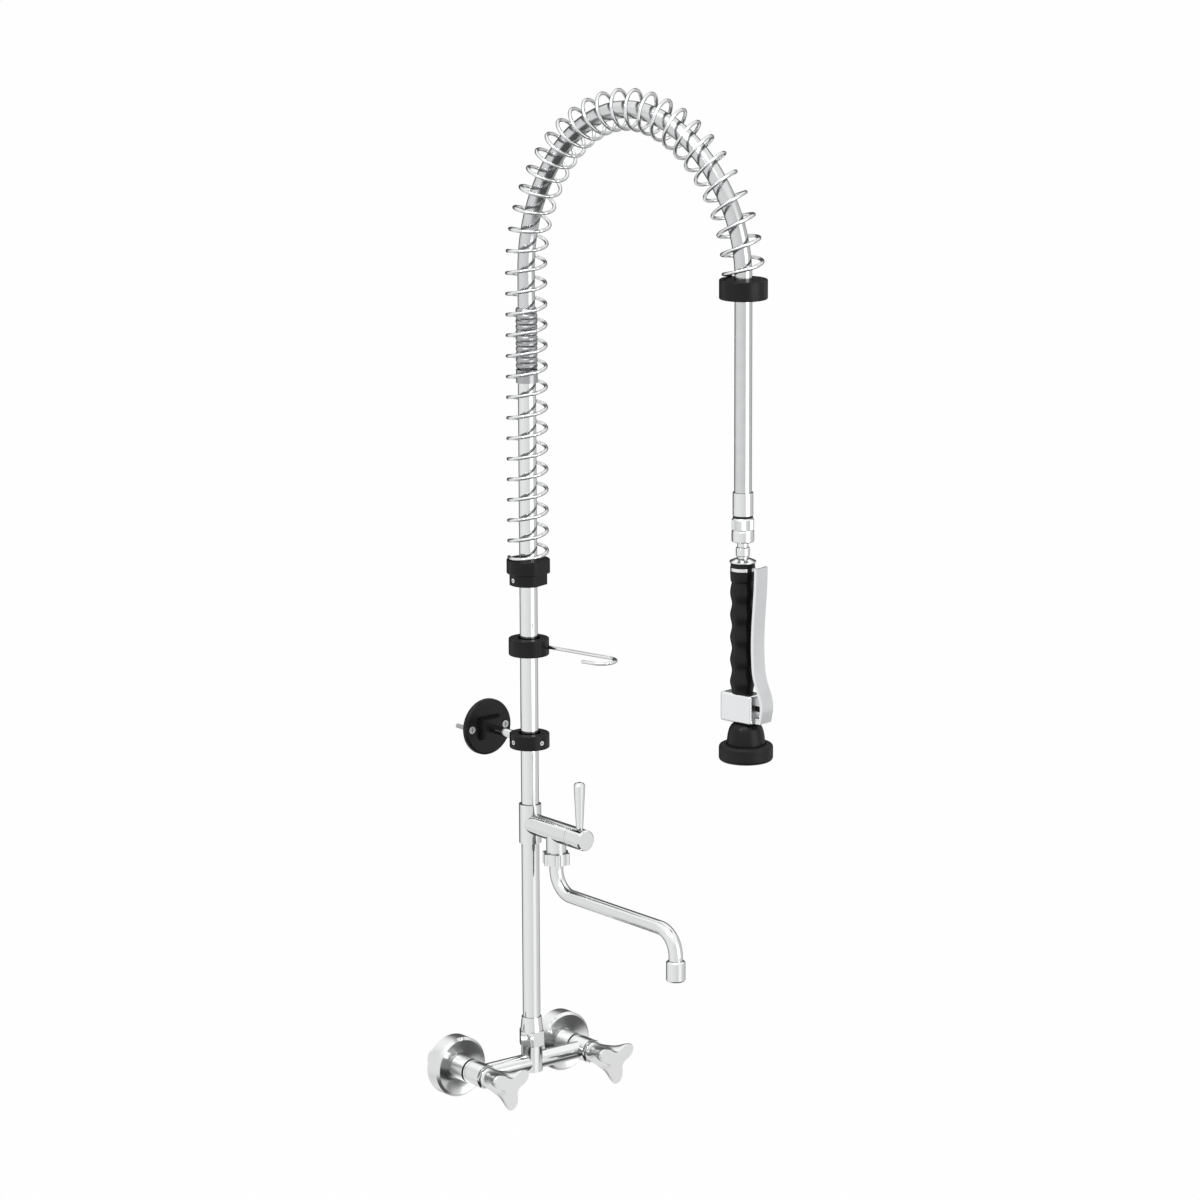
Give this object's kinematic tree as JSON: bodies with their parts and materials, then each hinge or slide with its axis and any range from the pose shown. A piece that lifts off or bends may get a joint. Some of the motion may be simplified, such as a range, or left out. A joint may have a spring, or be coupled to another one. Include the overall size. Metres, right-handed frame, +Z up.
{
  "type": "wall-mounted pre-rinse faucet",
  "caption": "Wall-mounted pre-rinse faucet: mixer with pointed handles, tall riser with swivel spout tap, wall stay, hook, arched spring over a hose, and a squeeze-lever spray gun.",
  "frame": {"origin": "on the wall plane, midway between the axes of the two water inlets", "axes": "+X to the right along the wall, +Y into the wall, +Z up along the riser"},
  "size_m": [0.219, 0.4191, 1.1487],
  "materials": {
    "chrome": "polished",
    "brass": "machined",
    "black_plastic": "satin",
    "rubber": "matt",
    "gasket": "matt",
    "ceramic": "lapped",
    "spring_steel": "polished",
    "hose_grey": "satin",
    "ferrule_grey": "satin"
  },
  "bodies": {
    "fixture": {"mixer_body": "chrome", "wall_unions": "chrome", "union_nuts": "chrome", "joint_seals": "gasket", "headworks": "chrome", "seat_discs": "ceramic", "coupling_nut": "chrome", "riser_lower": "chrome", "riser_upper": "chrome", "tap_body": "chrome", "tap_headwork": "brass", "spout_nut": "chrome", "stay_flange": "black_plastic", "stay_rod": "chrome", "stay_collar": "black_plastic", "wall_screws": "chrome", "grub_screws": "chrome", "spring_seat": "black_plastic", "hose_nut": "chrome"},
    "hot_rosette": {"hot_rosette": "chrome"},
    "cold_rosette": {"cold_rosette": "chrome"},
    "hot_handle": {"hot_handle": "chrome", "hot_spindle": "brass", "hot_disc": "ceramic"},
    "cold_handle": {"cold_handle": "chrome", "cold_spindle": "brass", "cold_disc": "ceramic"},
    "tap_handle": {"tap_hub": "chrome", "tap_lever": "chrome", "tap_spindle": "brass"},
    "spout": {"spout": "chrome", "spout_seals": "gasket", "spout_ring": "brass", "aerator_housing": "chrome", "aerator_insert": "black_plastic"},
    "hook": {"hook_collar": "black_plastic", "hook_wire": "chrome", "hook_screw": "chrome"},
    "arm": {"spring": "spring_steel", "hose": "hose_grey", "hose_tail": "chrome", "hose_ferrule": "ferrule_grey", "end_collar": "black_plastic", "end_ferrule": "chrome", "swivel_seal": "gasket", "swivel_nut": "chrome"},
    "spray": {"swivel_neck": "chrome", "grip_cap": "chrome", "grip": "black_plastic", "grip_tube": "brass", "grip_ring": "chrome", "valve_box": "chrome", "valve_plug": "chrome", "plunger_spring": "spring_steel", "lever_pin": "chrome", "spray_bell": "black_plastic", "bumper_ring": "rubber", "spray_face": "black_plastic"},
    "trigger": {"spray_lever": "chrome"},
    "plunger": {"plunger": "black_plastic"}
  },
  "joints": [
    {"name": "hot_rosette_slide", "type": "slide", "parent": "fixture", "child": "hot_rosette", "axis": [0, 1, 0], "range_m": [0, 0.0295]},
    {"name": "cold_rosette_slide", "type": "slide", "parent": "fixture", "child": "cold_rosette", "axis": [0, 1, 0], "range_m": [0, 0.0295]},
    {"name": "hot_handle_turn", "type": "hinge", "parent": "fixture", "child": "hot_handle", "pos_m": [-0.075, -0.12, 0], "axis": [0, -1, 0], "range_deg": [0, 90]},
    {"name": "cold_handle_turn", "type": "hinge", "parent": "fixture", "child": "cold_handle", "pos_m": [0.075, -0.12, 0], "axis": [0, 1, 0], "range_deg": [0, 90]},
    {"name": "tap_turn", "type": "hinge", "parent": "fixture", "child": "tap_handle", "pos_m": [0, -0.17, 0.28], "axis": [0, 1, 0], "range_deg": [0, 90]},
    {"name": "spout_swivel", "type": "hinge", "parent": "fixture", "child": "spout", "pos_m": [0, -0.1282, 0.25], "axis": [0, 0, 1], "range_deg": [-110, 110]},
    {"name": "hook_turn", "type": "hinge", "parent": "fixture", "child": "hook", "pos_m": [0, -0.081, 0.4835], "axis": [0, 0, 1], "range_deg": [-60, 60]},
    {"name": "arm_turn", "type": "hinge", "parent": "fixture", "child": "arm", "pos_m": [0, -0.081, 0.791], "axis": [0, 0, 1], "range_deg": [-60, 45]},
    {"name": "spray_spin", "type": "hinge", "parent": "arm", "child": "spray", "pos_m": [0.07493, -0.36064, 0.64], "axis": [0, 0, 1], "continuous": true},
    {"name": "trigger_squeeze", "type": "hinge", "parent": "spray", "child": "trigger", "pos_m": [0.07965, -0.38743, 0.44365], "axis": [-0.9848, -0.1736, 0], "range_deg": [0, 3.4], "stiffness_Nm_per_rad": 2, "springref_deg": -2.86},
    {"name": "plunger_slide", "type": "slide", "parent": "spray", "child": "plunger", "axis": [-0.1736, 0.9848, 0], "range_m": [0, 0.0008]}
  ],
  "couplings": [
    {"joint": "plunger_slide", "follows": "trigger_squeeze", "m_per_rad": 0.012}
  ]
}
